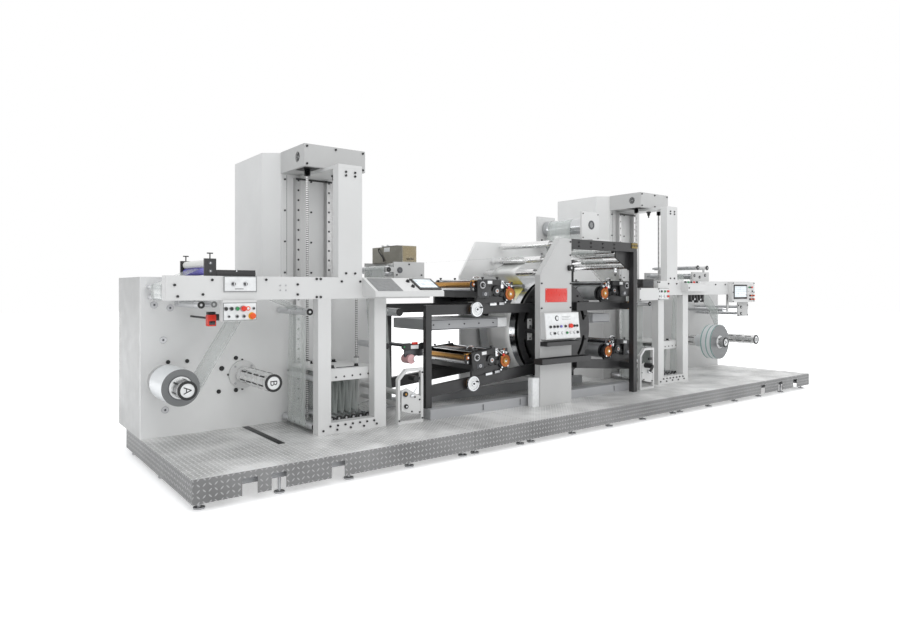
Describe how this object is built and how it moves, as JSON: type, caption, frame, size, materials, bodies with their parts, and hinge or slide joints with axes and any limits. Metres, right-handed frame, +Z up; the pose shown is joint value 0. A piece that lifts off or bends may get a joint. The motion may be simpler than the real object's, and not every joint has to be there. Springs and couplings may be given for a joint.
{
  "type": "rotary letterpress label printing machine",
  "caption": "A light grey rotary letterpress for labels on a checker plate platform, with an unwinder, web towers, inking units round a large central drum and a rewinder",
  "frame": {"origin": "floor level, under the middle of the overall box", "axes": "X along the machine from unwinder to rewinder, Y from the operator's side to the back, Z up"},
  "size_m": [9, 2.345, 2.815],
  "materials": {
    "light_grey_paint": "satin powder coat",
    "mid_grey_paint": "satin powder coat",
    "checker_plate": "raised bar pattern, bare metal",
    "bare_steel": "ground",
    "roller_aluminium": "turned and anodised",
    "chrome": "polished",
    "black_paint": "satin",
    "ink_rubber": "matt",
    "black_plastic": "matt",
    "white_film": "wound film, glossy"
  },
  "bodies": {
    "machine_frame": {"deck_plates": "checker_plate", "front_skirt": "checker_plate", "back_and_end_skirts": "checker_plate", "base_frame": "mid_grey_paint", "levelling_feet": "bare_steel", "unwinder_wall": "light_grey_paint", "rewinder_wall": "light_grey_paint", "rear_cabinets": "light_grey_paint", "tower_housings": "light_grey_paint", "tower_heads": "light_grey_paint", "accumulator_frames": "light_grey_paint", "table_beams": "light_grey_paint", "lift_guides": "bare_steel", "festoon_rollers": "roller_aluminium", "bearing_flanges": "light_grey_paint", "table_rollers": "roller_aluminium", "table_side_plates": "light_grey_paint", "nip_frame": "black_paint", "nip_rollers": "ink_rubber", "control_panels": "light_grey_paint", "left_console": "light_grey_paint", "web_sensors": "black_plastic", "treater_box": "bare_steel", "press_base": "light_grey_paint", "press_post": "light_grey_paint", "post_fittings": "black_paint", "drum_disc": "black_paint", "rear_frame": "light_grey_paint", "gantry": "black_paint", "rail_supports": "black_paint", "print_rails": "black_paint", "press_guide_rollers": "roller_aluminium", "chill_frame": "light_grey_paint", "web_sensor_frames": "light_grey_paint", "unit_cable_boxes": "mid_grey_paint"},
    "unwind_spindle_a": {"unwind_mandrel_a": "bare_steel", "film_reel": "white_film"},
    "unwind_spindle_b": {"unwind_mandrel_b": "bare_steel"},
    "rewind_spindle_a": {"rewind_mandrel_a": "bare_steel", "finished_roll": "white_film"},
    "rewind_spindle_b": {"rewind_mandrel_b": "bare_steel"},
    "impression_drum": {"impression_drum": "chrome"},
    "chill_roller": {"chill_roller": "chrome"},
    "left_lifting_carriage": {"left_accumulator_carriage": "light_grey_paint", "left_carriage_rollers": "roller_aluminium"},
    "right_lifting_carriage": {"right_accumulator_carriage": "light_grey_paint", "right_carriage_rollers": "roller_aluminium"},
    "upper_left_print_unit": {"upper_left_unit_frame": "black_paint", "upper_left_unit_rollers": "ink_rubber"},
    "upper_left_handwheel": {"upper_left_handwheel": "chrome"},
    "upper_right_print_unit": {"upper_right_unit_frame": "black_paint", "upper_right_unit_rollers": "ink_rubber"},
    "upper_right_handwheel": {"upper_right_handwheel": "chrome"},
    "lower_left_print_unit": {"lower_left_unit_frame": "black_paint", "lower_left_unit_rollers": "ink_rubber"},
    "lower_left_handwheel": {"lower_left_handwheel": "chrome"},
    "lower_right_print_unit": {"lower_right_unit_frame": "black_paint", "lower_right_unit_rollers": "ink_rubber"},
    "lower_right_handwheel": {"lower_right_handwheel": "chrome"}
  },
  "joints": [
    {"name": "unwind_a_turn", "type": "hinge", "parent": "machine_frame", "child": "unwind_spindle_a", "pos_m": [-4.322, -0.0825, 0.715], "axis": [0, 1, 0], "continuous": true},
    {"name": "unwind_b_turn", "type": "hinge", "parent": "machine_frame", "child": "unwind_spindle_b", "pos_m": [-3.625, -0.0825, 0.712], "axis": [0, 1, 0], "continuous": true},
    {"name": "rewind_a_turn", "type": "hinge", "parent": "machine_frame", "child": "rewind_spindle_a", "pos_m": [3.46, -0.0825, 0.695], "axis": [0, 1, 0], "continuous": true},
    {"name": "rewind_b_turn", "type": "hinge", "parent": "machine_frame", "child": "rewind_spindle_b", "pos_m": [4.36, -0.0825, 0.695], "axis": [0, 1, 0], "continuous": true},
    {"name": "impression_drum_turn", "type": "hinge", "parent": "machine_frame", "child": "impression_drum", "pos_m": [-0.18, -0.0375, 1.032], "axis": [0, 1, 0], "continuous": true},
    {"name": "chill_roller_turn", "type": "hinge", "parent": "machine_frame", "child": "chill_roller", "pos_m": [0.33, -0.1125, 2.265], "axis": [0, 1, 0], "continuous": true},
    {"name": "left_carriage_lift", "type": "slide", "parent": "machine_frame", "child": "left_lifting_carriage", "axis": [0, 0, 1], "range_m": [-0.25, 1.7]},
    {"name": "right_carriage_lift", "type": "slide", "parent": "machine_frame", "child": "right_lifting_carriage", "axis": [0, 0, 1], "range_m": [-0.25, 1.7]},
    {"name": "upper_left_print_unit_slide", "type": "slide", "parent": "machine_frame", "child": "upper_left_print_unit", "axis": [1, 0, 0], "range_m": [-0.1, 0.22]},
    {"name": "upper_left_handwheel_turn", "type": "hinge", "parent": "machine_frame", "child": "upper_left_handwheel", "pos_m": [-1.471, -0.4725, 1.29], "axis": [0, 1, 0], "range_deg": [-194, 424]},
    {"name": "upper_right_print_unit_slide", "type": "slide", "parent": "machine_frame", "child": "upper_right_print_unit", "axis": [-1, 0, 0], "range_m": [-0.09, 0.22]},
    {"name": "upper_right_handwheel_turn", "type": "hinge", "parent": "machine_frame", "child": "upper_right_handwheel", "pos_m": [1.111, -0.4725, 1.29], "axis": [0, 1, 0], "range_deg": [-424, 175]},
    {"name": "lower_left_print_unit_slide", "type": "slide", "parent": "machine_frame", "child": "lower_left_print_unit", "axis": [0.9965, 0, 0.0837], "range_m": [-0.1, 0.21]},
    {"name": "lower_left_handwheel_turn", "type": "hinge", "parent": "machine_frame", "child": "lower_left_handwheel", "pos_m": [-1.518, -0.4725, 0.52937], "axis": [0, 1, 0], "range_deg": [-194, 405]},
    {"name": "lower_right_print_unit_slide", "type": "slide", "parent": "machine_frame", "child": "lower_right_print_unit", "axis": [-0.9965, 0, 0.0837], "range_m": [-0.1, 0.21]},
    {"name": "lower_right_handwheel_turn", "type": "hinge", "parent": "machine_frame", "child": "lower_right_handwheel", "pos_m": [1.158, -0.4725, 0.52937], "axis": [0, 1, 0], "range_deg": [-405, 194]}
  ],
  "couplings": [
    {"joint": "upper_left_handwheel_turn", "follows": "upper_left_print_unit_slide", "rad_per_m": 33.33},
    {"joint": "upper_right_handwheel_turn", "follows": "upper_right_print_unit_slide", "rad_per_m": -33.33},
    {"joint": "lower_left_handwheel_turn", "follows": "lower_left_print_unit_slide", "rad_per_m": 33.33},
    {"joint": "lower_right_handwheel_turn", "follows": "lower_right_print_unit_slide", "rad_per_m": -33.33}
  ]
}
